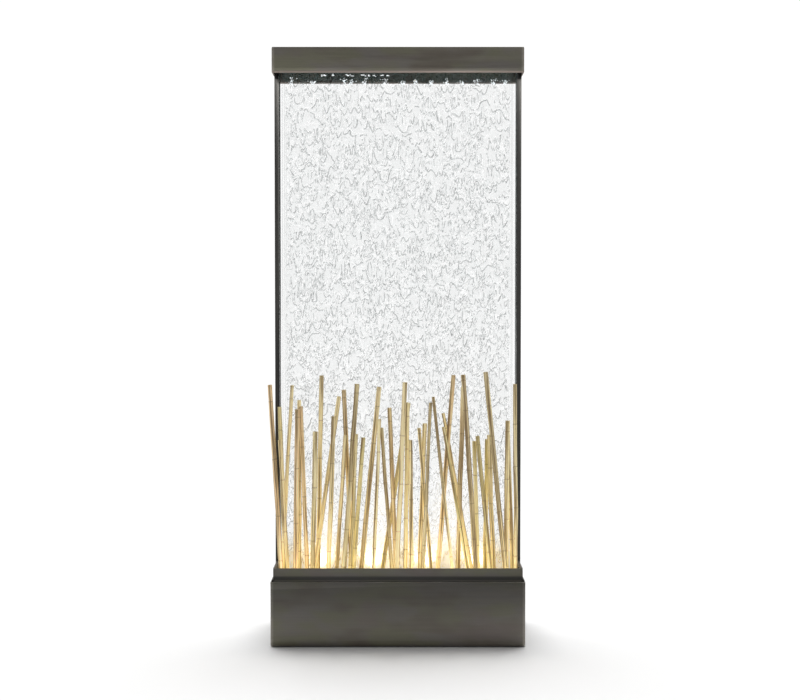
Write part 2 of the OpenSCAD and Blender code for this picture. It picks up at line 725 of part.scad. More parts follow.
module reed_tray() {
    color("#4a4843") difference() {
        union() {
            block([-tray_x, foam_y0 - 1, foam_z - 1], [tray_x, foam_y1 + 1, foam_z + 16]);
            for (x = [-tray_x, tray_x - 6], y = [foam_y0 - 1, foam_y1 - 5])
                block([x, y, tub_floor], [x + 6, y + 6, foam_z - 1]);
        }
        block([-tray_x - 1, foam_y0, foam_z], [tray_x + 1, foam_y1, foam_z + 20]);
        for (x = [-120:60:120], y = [-50, -30]) rod_z(foam_z - 3, foam_z + 1, x, y, 4);
    }
}

module reed_foam() {
    color("#23241f") difference() {
        block([-tray_x, foam_y0, foam_z], [tray_x, foam_y1, foam_z + foam_h]);
        for (r = reeds) reed(r, 0.1);
    }
}

// One reed, made thicker by grow all round for its hole in the foam.
module reed(r, grow = 0) {
    slope = (r[1] - r[0]) / (r[2] - rim_z);
    lean = -tan(front_lean) * (1 - r[3] / 5);
    foot = [r[0] - slope * (rim_z - reed_foot_z), row_1_y + row_pitch * r[3], reed_foot_z];
    way = [slope, lean, 1];
    long = (r[2] - reed_foot_z) * norm(way);
    translate(foot) rotate([0, acos(1 / norm(way)), atan2(way[1], way[0])])
        translate([0, 0, -grow]) cylinder(r1 = r[4] / 2 + grow, r2 = r[4] * tip_share + grow, h = long + 2 * grow);
}

module reeds_row(n) {
    tints = ["#c9a968", "#b8a15c", "#cfae78", "#a99656", "#d2b27a", "#b39a63"];
    color(tints[n]) for (r = reeds) if (r[3] == n) reed(r);
}

base_skirt();
base_floor();
rubber_feet();
foot_screws();
tub_standoffs();
standoff_screws();
reservoir_tub();
skirt_spacers();
dc_inlet();
dc_inlet_pin();
dc_inlet_nut();
wire_splitter();
supply_cable();
pump_cable();
lamp_cable();
cable_grommets();
rail_left();
rail_right();
rail_screws();
top_bar();
top_bar_screws();
glass_pane();
glass_seal_left();
glass_seal_right();
glass_foot();
glass_pads();
pump_body();
pump_cover();
pump_shaft();
pump_bushes();
impeller();
flow_dial();
suction_cups();
pump_hose();
hose_clamps();
riser_elbow_lower();
riser_elbow_upper();
spray_bar();
spray_bar_cap();
spray_bar_clips();
lamp_bracket();
lamp_housings();
lamp_boards();
lamp_lenses();
hood_shell();
hood_beams();
hood_pads();
reed_tray();
reed_foam();
reeds_row(0);  // reeds_row_1
reeds_row(1);  // reeds_row_2
reeds_row(2);  // reeds_row_3
reeds_row(3);  // reeds_row_4
reeds_row(4);  // reeds_row_5
reeds_row(5);  // reeds_row_6
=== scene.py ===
"""Looks of a tabletop water wall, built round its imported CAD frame. Lengths are in metres."""

import json
import math

import bmesh
import bpy
import numpy as np
from mathutils import Matrix, Vector


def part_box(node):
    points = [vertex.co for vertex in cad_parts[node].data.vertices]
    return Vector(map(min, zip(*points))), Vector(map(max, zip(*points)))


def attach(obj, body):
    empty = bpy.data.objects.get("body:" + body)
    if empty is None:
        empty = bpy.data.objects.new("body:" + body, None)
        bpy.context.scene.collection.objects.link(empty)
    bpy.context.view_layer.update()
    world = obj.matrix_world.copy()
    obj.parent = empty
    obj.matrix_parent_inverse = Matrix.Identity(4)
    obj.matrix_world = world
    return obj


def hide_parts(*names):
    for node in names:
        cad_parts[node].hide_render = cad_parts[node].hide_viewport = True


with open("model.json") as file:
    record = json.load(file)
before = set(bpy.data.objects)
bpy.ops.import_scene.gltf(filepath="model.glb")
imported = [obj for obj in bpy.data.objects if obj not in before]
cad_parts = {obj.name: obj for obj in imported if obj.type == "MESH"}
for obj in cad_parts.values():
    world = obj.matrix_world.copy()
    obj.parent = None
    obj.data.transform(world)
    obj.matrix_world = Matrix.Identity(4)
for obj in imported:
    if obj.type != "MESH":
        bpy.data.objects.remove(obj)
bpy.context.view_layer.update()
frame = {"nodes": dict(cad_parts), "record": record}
scene = bpy.context.scene
nodes = frame["nodes"]
record = frame["record"]
slot_of = {part["node"]: part["material_slot"] for part in record["subparts"]}
body_of = {}
for body_name, members in record["behaviour"]["bodies"].items():
    for member in members:
        body_of[member] = body_name

MM = 0.001
WELD = 1e-6                         # CAD points nearer than this are one


# ---------------------------------------------------------------- materials

NOISE_SPAN = (0.3, 0.7)             # most of a noise lies in this span,
PAIR_SPAN = (0.7, 1.3)              # the sum of two noises in this one,
PATCH_SPAN = (0.35, 0.65)           # and patches of two tones change over in this one

# where painted light and shade start and where they are full: heights, but for the corners
CORNER_HIGHLIGHT = (0.1480, 0.1520)      # left or right of the middle: painted highlight on the rounded corners
GAP_SHADE_FOOT = (0.0780, 0.0795)        # painted shade in the gap between the skirt and the tub's rim
GAP_SHADE_HEAD = (0.0845, 0.0815)
HEM_HIGHLIGHT_FOOT = (0.6885, 0.6892)         # painted highlight on the folded edge of the hood
HEM_HIGHLIGHT_HEAD = (0.6918, 0.6906)
# painted light: the hood is made paler than the rest of the sheet
HOOD_LIGHT = (0.60, 0.69)
# painted light: the skirt darker towards its top
SKIRT_LIGHT = (0.002, 0.070)
# painted reflection of the white table: the skirt paler at its foot
SKIRT_FOOT_REFLECTION = (0.002, 0.014)
# where the skirt's painted light gives way to the rest of the sheet
SKIRT_EDGE = (0.0772, 0.0785)
# painted glint: the rails paler towards their top
RAIL_GLINT = (0.54, 0.684)
# painted shade: the rails' tops black where they run up under the hood
RAIL_TOP_SHADE = (0.6850, 0.6865)
REED_GLOW = (0.235, 0.095)          # painted lamp light on the reeds, growing downwards, towards the lamps


class Shader:
    """One material's node tree, with short calls for the nodes it needs."""

    def __init__(self, name):
        self.material = bpy.data.materials.new(name)
        self.material.use_nodes = True
        self.tree = self.material.node_tree
        self.tree.nodes.clear()
        out = self.add("ShaderNodeOutputMaterial")
        self.surface = self.add("ShaderNodeBsdfPrincipled")
        self.tree.links.new(self.surface.outputs[0], out.inputs[0])
        coordinates = self.add("ShaderNodeTexCoord")
        self.place = coordinates.outputs["Object"]
        self.facing = coordinates.outputs["Normal"]

    def add(self, kind, **settings):
        made = self.tree.nodes.new(kind)
        for key, value in settings.items():
            setattr(made, key, value)
        return made

    def put(self, socket, value):
        """Links value into socket if it is an output, and sets it if it is a plain value."""
        if isinstance(value, bpy.types.NodeSocket):
            self.tree.links.new(value, socket)
        elif isinstance(value, tuple) and len(value) == 3 and socket.type == "RGBA":
            socket.default_value = (*value, 1)
        else:
            socket.default_value = value

    def set(self, **values):
        """Sets the main shader's sockets: base_color=... goes to Base Color."""
        for key, value in values.items():
            socket = key.replace("_", " ").title().replace("Ior", "IOR")
            self.put(self.surface.inputs[socket], value)

    def math(self, operation, a, b=0.0):
        made = self.add("ShaderNodeMath", operation=operation)
        for socket, value in zip(made.inputs, (a, b)):
            self.put(socket, value)
        return made.outputs[0]

    def noise(self, scale, stretch=(1, 1, 1), detail=3.0, offset=(0, 0, 0), source=None):
        """Soft noise from 0 to 1, scale cells a metre, along stretched object axes."""
        mapping = self.add("ShaderNodeMapping")
        self.put(mapping.inputs["Vector"], source or self.place)
        mapping.inputs["Scale"].default_value = stretch
        mapping.inputs["Location"].default_value = offset
        made = self.add("ShaderNodeTexNoise")
        self.put(made.inputs["Vector"], mapping.outputs[0])
        made.inputs["Scale"].default_value = scale
        made.inputs["Detail"].default_value = detail
        return made.outputs["Fac"]

    def mix(self, factor, a, b, kind="MIX"):
        """Colour a at factor 0, b at 1."""
        made = self.add("ShaderNodeMix", data_type="RGBA", blend_type=kind)
        self.put(made.inputs["Factor"], factor)
        self.put(made.inputs["A"], a)
        self.put(made.inputs["B"], b)
        return made.outputs["Result"]

    def between(self, value, low, high, out_low=0.0, out_high=1.0, smooth=True):
        """value from low to high becomes out_low to out_high, held at the ends."""
        kind = "SMOOTHSTEP" if smooth else "LINEAR"
        made = self.add("ShaderNodeMapRange", interpolation_type=kind)
        for socket, number in zip(made.inputs, (value, low, high, out_low, out_high)):
            self.put(socket, number)
        return made.outputs[0]

    def spread(self, noise, out_low, out_high):
        """A noise's useful span becomes out_low to out_high."""
        return self.between(noise, *NOISE_SPAN, out_low, out_high)

    def spread_pair(self, a, b, out_low, out_high):
        """The useful span of two noises' sum becomes out_low to out_high."""
        return self.between(self.math("ADD", a, b), *PAIR_SPAN, out_low, out_high)

    def named(self, attribute, output="Fac"):
        return self.add("ShaderNodeAttribute", attribute_name=attribute).outputs[output]

    def axis(self, source, index):
        made = self.add("ShaderNodeSeparateXYZ")
        self.put(made.inputs[0], source)
        return made.outputs[index]

    def bump(self, height, depth, strength):
        made = self.add("ShaderNodeBump")
        made.inputs["Strength"].default_value = strength
        made.inputs["Distance"].default_value = depth
        self.put(made.inputs["Height"], height)
        self.put(self.surface.inputs["Normal"], made.outputs[0])


def linear(red, green, blue):
    """Linear colour of an 8-bit sRGB colour."""
    def channel(value):
        value /= 255
        return value / 12.92 if value <= 0.04045 else ((value + 0.055) / 1.055) ** 2.4
    return channel(red), channel(green), channel(blue)


def brushed_bronze():
    """Dark bronze sheet brushed lengthwise, with olive, brown and plum clouds and painted highlights
    on the corners.

    Its painted light and shade follow the height as in the photo: painted shade in the gap above the
    skirt, a hood painted paler with a painted highlight on its hem, and a skirt painted darker
    upwards, paler at its foot as a painted reflection of the table.
    """
    s = Shader("brushed_bronze")
    level = s.between(s.math("ABSOLUTE", s.axis(s.facing, 2)), 0.4, 0.6)
    grain = []
    for along, across, shift in ((7, 160, 0), (20, 1500, 3)):
        upright = s.noise(1, (along, along, across), 2.0, (shift, 1, 2))
        flat = s.noise(1, (along, across, along), 2.0, (shift, 5, 2))
        grain.append(s.axis(s.mix(level, upright, flat), 0))
    streaks, hairlines = grain
    olive = s.noise(1, (18, 18, 46), 2.0, (4, 8, 3))
    brown = s.noise(1, (13, 13, 30), 2.0, (1, 4, 9))
    plum = s.noise(1, (16, 16, 26), 2.0, (11, 2, 7))
    colour = s.mix(s.between(olive, 0.40, 0.62), linear(80, 77, 73), linear(79, 78, 65))
    colour = s.mix(s.between(brown, 0.50, 0.68), colour, linear(72, 67, 60))
    colour = s.mix(s.between(plum, 0.54, 0.72, 0, 0.7), colour, linear(80, 73, 71))
    colour = s.mix(s.between(streaks, 0.35, 0.75, 0, 0.4), colour, linear(90, 87, 79))

    # painted highlight on the rounded corners, broken up by the streaks
    sideways = s.math("ABSOLUTE", s.axis(s.place, 0))
    patchy = s.between(streaks, 0.2, 0.6, 0.4, 0.9)
    corner_highlight = s.math("MULTIPLY", s.between(sideways, *CORNER_HIGHLIGHT), patchy)
    colour = s.mix(corner_highlight, colour, linear(122, 118, 111))

    height = s.axis(s.place, 2)
    # painted shade in the gap between the skirt and the tub's rim
    gap_shade = s.math("MULTIPLY", s.between(height, *GAP_SHADE_FOOT), s.between(height, *GAP_SHADE_HEAD))
    colour = s.mix(s.math("MULTIPLY", gap_shade, 0.85), colour, linear(26, 26, 25))
    # painted highlight along the hood's folded edge
    hem_highlight = s.math("MULTIPLY", s.between(height, *HEM_HIGHLIGHT_FOOT), s.between(height, *HEM_HIGHLIGHT_HEAD, 0, 0.7))
    colour = s.mix(hem_highlight, colour, linear(126, 114, 108))
    # painted light: the hood made paler, the skirt darker upwards, with a painted reflection of the
    # table making its foot paler
    hood = s.between(height, *HOOD_LIGHT, 1.0, 1.42)
    skirt = s.between(height, *SKIRT_LIGHT, 1.06, 0.56)
    skirt = s.math("MULTIPLY", skirt, s.between(height, *SKIRT_FOOT_REFLECTION, 1.7, 1.0))
    tone = s.mix(s.between(height, *SKIRT_EDGE), skirt, hood)
    colour = s.mix(1.0, colour, tone, "MULTIPLY")
    colour = s.mix(1.0, colour, s.between(hairlines, 0.25, 0.75, 0.92, 1.06), "MULTIPLY")
    s.set(base_color=colour, metallic=0.5, roughness=s.spread_pair(streaks, hairlines, 0.40, 0.54))
    s.bump(hairlines, 0.04 * MM, 0.4)
    return s.material


def rail_bronze():
    """The side rails: dark and semi-gloss, drawn lengthwise, with a painted glint making them paler
    towards the top and painted shade making their very tops black.
    """
    s = Shader("rail_bronze")
    drawn = s.noise(1, (1400, 1400, 8))
    cloud = s.noise(1, (30, 30, 14), 2.0, (1, 2, 3))
    colour = s.mix(s.between(cloud, *PATCH_SPAN), linear(12, 12, 11), linear(20, 19, 18))
    colour = s.mix(s.between(drawn, *NOISE_SPAN), colour, linear(50, 48, 44))
    height = s.axis(s.place, 2)
    # painted glint: the rail's colour grows paler towards its top
    haze_and_glint = s.math("POWER", s.between(height, *RAIL_GLINT, smooth=False), 3.0)
    colour = s.mix(s.math("MULTIPLY", haze_and_glint, 0.62), colour, linear(124, 122, 118))
    # painted shade: the rail's top turns black where it runs up under the hood
    colour = s.mix(s.between(height, *RAIL_TOP_SHADE), colour, linear(6, 6, 6))
    s.set(base_color=colour, metallic=0.35, roughness=s.spread(drawn, 0.24, 0.36))
    s.bump(drawn, 0.05 * MM, 0.4)
    return s.material


def sheet_steel(name, dark, pale, roughness):
    """Plain rolled or turned metal with fine scratches and a dull bloom."""
    s = Shader(name)
    scratch = s.noise(1, (60, 1600, 1600))
    haze_and_glint = s.noise(60, offset=(2, 5, 1))
    colour = s.mix(s.between(haze_and_glint, *PATCH_SPAN), dark, pale)
    colour = s.mix(s.between(scratch, 0.55, 0.8, 0, 0.5), colour, pale)
    s.set(base_color=colour, metallic=0.9)
    s.set(roughness=s.spread_pair(scratch, haze_and_glint, roughness - 0.07, roughness + 0.08))
    s.bump(scratch, 0.04 * MM, 0.4)
    return s.material


def moulded(name, dark, pale, roughness, grain=900.0, depth=0.08 * MM):
    """Moulded plastic or rubber: a fine spark-eroded grain over slow tone changes."""
    s = Shader(name)
    spark = s.noise(grain, detail=2.0)
    slow = s.noise(45, offset=(3, 1, 4))
    colour = s.mix(s.between(slow, *PATCH_SPAN), dark, pale)
    colour = s.mix(s.between(spark, 0.62, 0.8, 0, 0.35), colour, pale)
    s.set(base_color=colour, metallic=0.0)
    s.set(roughness=s.spread_pair(spark, slow, roughness - 0.08, roughness + 0.1))
    s.bump(spark, depth, 0.6)
    return s.material


def open_foam():
    """Dark open-cell foam: pits of 1 to 2 mm, darker than the cell walls as painted shade."""
    s = Shader("open_foam")
    cells = s.add("ShaderNodeTexVoronoi")
    s.put(cells.inputs["Vector"], s.place)
    cells.inputs["Scale"].default_value = 620
    hole = s.between(cells.outputs["Distance"], 0.15, 0.55)
    slow = s.noise(50)
    walls = s.mix(slow, linear(52, 49, 44), linear(40, 40, 36))
    # painted shade: the pits darker than the cell walls
    s.set(base_color=s.mix(hole, linear(18, 17, 15), walls), roughness=s.spread(slow, 0.88, 0.98))
    s.bump(hole, 0.6 * MM, 0.9)
    return s.material


def pane_glass():
    """Clear glass, a little grey face on and green at its edges, with water marks."""
    s = Shader("pane_glass")
    edge = s.between(s.math("ABSOLUTE", s.axis(s.facing, 1)), 0.5, 0.9, 1, 0)
    marks = s.noise(1, (40, 40, 12), 4.0)
    colour = s.mix(edge, linear(150, 158, 158), linear(96, 142, 130))
    s.set(base_color=colour, roughness=s.spread(marks, 0.03, 0.09), specular_ior_level=0.5)
    body = s.between(edge, 0, 1, 0.02, 0.5)
    s.set(alpha=s.math("ADD", body, s.between(marks, 0.5, 0.9, 0, 0.02)))
    return s.material


def water_film():
    """The film on the glass: painted shade on its lower fronts, painted highlights where its crests
    turn clear, and painted lamp light glowing round the lamps and at its foot.
    """
    s = Shader("water_film")
    shade, crest_highlight, lit, foot = (s.named(key) for key in ("shade", "crest_highlight", "lit", "foot"))
    ripple = s.noise(1, (500, 500, 220), 2.0)
    line = s.math("MULTIPLY", shade, s.between(lit, 0, 1, 1, 0.7))
    # painted lamp light: the film's cream colour round the lamps and at its foot, darker along the
    # painted shade
    lamp_lit_colour = s.mix(line, linear(255, 250, 236), linear(150, 132, 100))
    colour = s.mix(line, linear(118, 144, 142), linear(62, 69, 69))
    warm = s.math("MAXIMUM", foot, s.between(lit, 0, 1, 0, 0.85))
    body = s.between(line, 0, 1, 0.140, 0.74, smooth=False)
    # painted highlight: the crests let the white backdrop show through
    clear = s.between(crest_highlight, 0, 1, 1, 0)
    open_water = s.math("MULTIPLY", s.math("MULTIPLY", body, clear), s.named("cover"))
    s.set(base_color=s.mix(warm, colour, lamp_lit_colour))
    s.set(alpha=s.math("MAXIMUM", open_water, s.math("MULTIPLY", foot, 0.96)))
    s.set(roughness=s.spread(ripple, 0.04, 0.12))
    # painted lamp light: the film glows round the lamps and at its foot, less along the painted shade
    calm = s.between(line, 0, 1, 1, 0.3)
    glow = s.math("ADD", s.math("MULTIPLY", lit, 0.26), s.math("MULTIPLY", foot, 0.42))
    s.set(emission_color=linear(255, 247, 226), emission_strength=s.math("MULTIPLY", calm, glow))
    s.bump(ripple, 0.2 * MM, 0.5)
    return s.material


def clear_back():
    """The hidden back and rim of a water piece."""
    s = Shader("water_back")
    ripple = s.noise(300)
    s.set(base_color=s.mix(ripple, linear(190, 200, 202), linear(215, 222, 224)))
    s.set(alpha=s.spread(ripple, 0.0, 0.02), roughness=0.05)
    return s.material


def white_water():
    """Aerated drops and splashes, glowing a little as painted light."""
    s = Shader("white_water")
    foam = s.noise(700)
    s.set(base_color=s.mix(foam, linear(235, 240, 242), linear(255, 255, 255)))
    s.set(alpha=s.spread(foam, 0.75, 0.95), roughness=s.spread(foam, 0.05, 0.2))
    # painted light: the drops glow a little
    s.set(emission_color=linear(240, 246, 250), emission_strength=0.45)
    return s.material


def pool_water():
    """The water standing in the reservoir."""
    s = Shader("pool_water")
    ripple = s.noise(95)
    s.set(base_color=s.mix(ripple, linear(38, 44, 44), linear(66, 74, 72)))
    s.set(alpha=s.spread(ripple, 0.32, 0.46), roughness=s.spread(ripple, 0.03, 0.08))
    s.bump(ripple, 1.5 * MM, 0.6)
    return s.material


def lamp_glow():
    """Frosted warm lens, glowing all over with a fine frost."""
    s = Shader("lamp_glow")
    frost = s.noise(900, detail=2.0)
    s.set(base_color=s.mix(frost, linear(255, 232, 178), linear(255, 244, 214)), roughness=0.45)
    s.set(emission_color=linear(255, 214, 140), emission_strength=s.spread(frost, 5.0, 7.0))
    return s.material


def board_mask():
    """Lamp board: a pale, warm, finely speckled mask."""
    s = Shader("board_mask")
    speck = s.noise(1200, detail=2.0)
    s.set(base_color=s.mix(speck, linear(236, 226, 178), linear(246, 240, 214)), roughness=0.5)
    s.bump(speck, 0.04 * MM, 0.4)
    return s.material


def bamboo():
    """Dried reeds: streaks along the stem, dark rings at the nodes, each reed its own tone, painted
    shade in the hollow tips, and a glow of painted lamp light, strongest at their feet.
    """
    s = Shader("bamboo")
    grain = s.named("grain", "Vector")
    tone, warm, ring, hollow = (s.named(key) for key in ("tone", "warm", "ring", "hollow"))
    fine = s.noise(1, (1500, 1500, 12), source=grain)
    broad = s.noise(1, (420, 420, 9), 2.0, (3, 1, 2), source=grain)
    spots = s.noise(1, (1000, 1000, 380), 2.0, (7, 1, 2), source=grain)
    colour = s.mix(tone, linear(164, 148, 112), linear(250, 234, 188))
    colour = s.mix(s.between(warm, 0.76, 0.98, 0, 0.7), colour, linear(226, 184, 142))
    colour = s.mix(s.between(warm, 0.40, 0.10, 0, 0.8), colour, linear(208, 198, 132))
    colour = s.mix(s.between(broad, 0.46, 0.58, 0, 0.9), colour, linear(122, 98, 62))
    colour = s.mix(s.between(broad, 0.47, 0.34, 0, 0.9), colour, linear(255, 244, 204))
    colour = s.mix(s.between(fine, 0.50, 0.68, 0, 0.75), colour, linear(255, 240, 190))
    colour = s.mix(s.between(spots, 0.66, 0.76, 0, 0.8), colour, linear(92, 66, 42))
    colour = s.mix(s.between(ring, 0, 1, 0, 0.5), colour, linear(104, 82, 54))
    # painted shade inside the hollow cut tips
    colour = s.mix(hollow, colour, linear(44, 30, 18))
    s.set(base_color=colour, roughness=s.spread(fine, 0.42, 0.62))
    # painted lamp light: the reeds glow a little all over and more towards their feet, near the lamps
    low = s.math("POWER", s.between(s.axis(s.place, 2), *REED_GLOW, smooth=False), 1.6)
    s.set(emission_color=s.mix(1.0, colour, linear(255, 238, 192), "MULTIPLY"))
    s.set(emission_strength=s.math("ADD", s.math("MULTIPLY", low, 0.38), 0.14))
    s.bump(s.math("ADD", fine, broad), 0.2 * MM, 0.7)
    return s.material


finishes = {
    "bronze_sheet": brushed_bronze(),
    "rail_metal": rail_bronze(),
    "inner_metal": sheet_steel("inner_sheet", linear(84, 82, 77), linear(112, 110, 105), 0.42),
    "screw_steel": sheet_steel("bright_steel", linear(150, 150, 150), linear(190, 190, 190), 0.28),
    "black_rubber": moulded("black_rubber", linear(24, 24, 24), linear(40, 40, 39), 0.8),
    "black_plastic": moulded("black_plastic", linear(28, 28, 30), linear(46, 46, 48), 0.55),
    "cable_black": moulded("cable_sheath", linear(22, 22, 23), linear(38, 38, 38), 0.5, 500.0),
    "contact_brass": sheet_steel("plated_brass", linear(176, 146, 84), linear(206, 178, 116), 0.3),
    "clear_glass": pane_glass(),
    "seal_grey": moulded("seal_grey", linear(120, 126, 122), linear(160, 164, 160), 0.6),
    "impeller_blue": moulded("impeller_blue", linear(52, 96, 148), linear(78, 124, 172), 0.45),
    "dial_grey": moulded("dial_grey", linear(176, 180, 182), linear(204, 206, 208), 0.5),
    "ceramic": moulded("ceramic", linear(222, 216, 206), linear(240, 236, 228), 0.2, 400.0, 0.02 * MM),
    "hose_dark": moulded("hose_dark", linear(36, 38, 42), linear(58, 60, 64), 0.4, 300.0),
    "lamp_metal": sheet_steel("turned_lamp", linear(140, 136, 124), linear(176, 170, 154), 0.35),
    "lamp_board": board_mask(),
    "lamp_lens": lamp_glow(),
    "foam_dark": open_foam(),
    "bamboo": bamboo(),
}
film_finish = water_film()
back_finish = clear_back()
splash_finish = white_water()
pool_finish = pool_water()

for node, part in nodes.items():
    for place in part.material_slots:
        place.material = finishes[slot_of[node]]


# ------------------------------------------------------------------- pieces

FLAT_ANGLE = math.radians(0.5)      # faces that turn less than this join into one
SHARP_ANGLE = math.radians(35)      # edges that turn more than this are rounded


def add_object(name, data, place=(0, 0, 0), turn=(0, 0, 0)):
    """A new object with this data in the scene, at a place and turned by Euler angles."""
    made = bpy.data.objects.new(name, data)
    scene.collection.objects.link(made)
    made.location = place
    made.rotation_euler = turn
    return made


def new_piece(name, mesh, body, materials):
    """Adds an object with this mesh, riding on a body."""
    piece = add_object(name, mesh)
    mesh.materials.clear()
    for material in materials:
        mesh.materials.append(material)
    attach(piece, body)
    return piece


def mesh_from(solid, name):
    """Turns a bmesh into a mesh."""
    mesh = bpy.data.meshes.new(name)
    solid.to_mesh(mesh)
    solid.free()
    return mesh


def softened(node, width, segments=2):
    """Stands for a CAD node: the same solid with its sharp edges rounded."""
    mesh = nodes[node].data.copy()
    mesh.name = node + "_soft"
    solid = bmesh.new()
    solid.from_mesh(mesh)
    bmesh.ops.remove_doubles(solid, verts=solid.verts, dist=WELD)
    bmesh.ops.dissolve_limit(solid, angle_limit=FLAT_ANGLE, verts=solid.verts, edges=solid.edges)
    for face in solid.faces:
        face.smooth = True
        face.material_index = 0
    solid.to_mesh(mesh)
    solid.free()
    slot = slot_of[node]
    piece = new_piece(node + "_soft", mesh, body_of[node], [finishes[slot]])
    bevel = piece.modifiers.new("edges", "BEVEL")
    bevel.width = width
    bevel.segments = segments
    bevel.limit_method = "ANGLE"
    bevel.angle_limit = SHARP_ANGLE
    bevel.harden_normals = True
    bevel.use_clamp_overlap = True
    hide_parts(node)


softened("hood_shell", 0.25 * MM)
softened("base_skirt", 0.35 * MM)
softened("reservoir_tub", 0.3 * MM)
softened("rail_left", 0.4 * MM)
softened("rail_right", 0.4 * MM)
softened("pump_body", 0.8 * MM, 3)


# -------------------------------------------------------------------- reeds

REED_SEED = 41
REED_ROWS = 6
SIDES = 12                          # vertices round a reed
NODE_GAP = (0.034, 0.062)           # between a reed's nodes
FIRST_NODE = 0.01                   # the lowest that the first node may be
TIP_MARGIN = 0.006                  # no node is nearer the tip than this
PLAIN_STEP = 0.0075                 # between rings of vertices away from the nodes
NODE_STEPS = (-2.2, -1.2, -0.6, -0.15, 0.25, 0.8, 1.7)     # rings round a node, in mm from it
END_MARGIN = 0.0005                 # no ring is nearer an end than this
LEAST_STEP = 0.00025                # nor nearer the ring before it than this
END_BAND = 0.3 * MM                 # points this near an end of a CAD reed are its end circle
KINK_REACH = 0.05                   # a node's kink bends the stem this far on either side
MOST_SWELL = 1.12                   # times the CAD reed's radius
TIP_RINGS = ((0.0, 0.62, 0.15), (2.5, 0.55, 1.0))          # the hollow: depth in mm, width, and darkness of its painted shade


def loose_parts(mesh):
    """Arrays of the positions of each separate part of a mesh."""
    solid = bmesh.new()
    solid.from_mesh(mesh)
    bmesh.ops.remove_doubles(solid, verts=solid.verts, dist=WELD)
    left = set(solid.verts)
    parts = []
    while left:
        grown = [left.pop()]
        found = list(grown)
        while grown:
            vertex = grown.pop()
            for edge in vertex.link_edges:
                other = edge.other_vert(vertex)
                if other in left:
                    left.remove(other)
                    found.append(other)
                    grown.append(other)
        parts.append(np.array([v.co[:] for v in found]))
    solid.free()
    return sorted(parts, key=lambda part: (round(part[:, 0].mean(), 5), round(part[:, 2].max(), 5)))


def reed_ends(part):
    """Centre and radius of the lower and the upper end circle of a straight reed."""
    middle = part.mean(0)
    axis = np.linalg.svd(part - middle)[2][0]
    axis = axis if axis[2] > 0 else -axis
    height = (part - middle) @ axis
    ends = []
    for ring in (part[height < height.min() + END_BAND], part[height > height.max() - END_BAND]):
        centre = (ring.min(0) + ring.max(0)) / 2
        ends.append((centre, np.linalg.norm(ring - centre, axis=1).max()))
    return ends


def reed_rings(length, rng):
    """Distances along a reed where it has a ring of vertices, and where its nodes are."""
    gap = rng.uniform(*NODE_GAP)
    joints = []
    at = rng.uniform(FIRST_NODE, gap)
    while at < length - TIP_MARGIN:
        joints.append(at)
        at += gap * rng.uniform(0.85, 1.2)
    steps = list(np.arange(0, length, PLAIN_STEP))
    for joint in joints:
        steps += [joint + step * MM for step in NODE_STEPS]
    steps = sorted(step for step in steps if END_MARGIN < step < length - END_MARGIN)
    kept = [0.0]
    for step in steps:
        if step - kept[-1] > LEAST_STEP:
            kept.append(step)
    return kept + [length], joints


def bell(away, width):
    return math.exp(-((away / width) ** 2))


def build_reed(part, rng, solid, layers):
    """Adds one reed to the bmesh: a slim cane with nodes, slight kinks and a hollow cut tip."""
    (foot, foot_r), (tip, tip_r) = reed_ends(part)
    axis = Vector(tip - foot)
    length = axis.length
    axis.normalize()
    across = axis.cross(Vector((0, 1, 0))).normalized()
    along = axis.cross(across)
    steps, joints = reed_rings(length, rng)
    kinks = [(rng.normal(0, 0.35) * MM, rng.normal(0, 0.25) * MM) for _ in joints]
    tone, warm = rng.uniform(0, 1), rng.uniform(0, 1)
    shift = rng.uniform(0, 9, 3)
    oval = rng.uniform(0.93, 1.0)
    phase = rng.uniform(0, math.tau)
    rings = []
    for step in steps:
        share = step / length
        base = foot_r + (tip_r - foot_r) * share
        swell = 1.0 + 0.025 * math.sin(share * 23 + phase)
        ring, side, deep = 0.0, 0.0, 0.0
        bow = math.sin(math.pi * share)
        for joint, kink in zip(joints, kinks):
            away = (step - joint) / MM
            swell += 0.09 * bell(away + 0.5, 0.8) - 0.07 * bell(away - 0.5, 0.45)
            ring = max(ring, bell(away - 0.35, 0.55))
            near = max(0.0, 1 - abs(step - joint) / KINK_REACH)
            side += kink[0] * near * bow
            deep += kink[1] * near * bow
        radius = min(base * swell, base * MOST_SWELL)
        centre = Vector(foot) + axis * step + across * side + along * deep
        row = []
        for k in range(SIDES):
            angle = math.tau * k / SIDES + phase
            offset = across * math.cos(angle) * radius + along * math.sin(angle) * radius * oval
            vertex = solid.verts.new(centre + offset)
            grain = Vector((math.cos(angle) * base, math.sin(angle) * base, step)) + Vector(shift)
            vertex[layers["grain"]] = grain
            vertex[layers["tone"]] = min(max(tone + 0.12 * math.sin(share * 9 + phase), 0), 1)
            vertex[layers["warm"]] = warm
            vertex[layers["ring"]] = ring
            vertex[layers["hollow"]] = 0.0
            row.append(vertex)
        rings.append(row)
    outer = rings[-1]
    for depth, size, dark in TIP_RINGS:
        centre = Vector(tip) - axis * depth * MM
        row = []
        for vertex in outer:
            made = solid.verts.new(centre + (vertex.co - Vector(tip)) * size)
            for key in ("grain", "tone", "warm"):
                made[layers[key]] = vertex[layers[key]]
            made[layers["hollow"]] = dark
            row.append(made)
        rings.append(row)
    for low, high in zip(rings, rings[1:]):
        for k in range(SIDES):
            n = (k + 1) % SIDES
            solid.faces.new((low[k], low[n], high[n], high[k])).smooth = True
    solid.faces.new(rings[-1])
    solid.faces.new(rings[0][::-1])


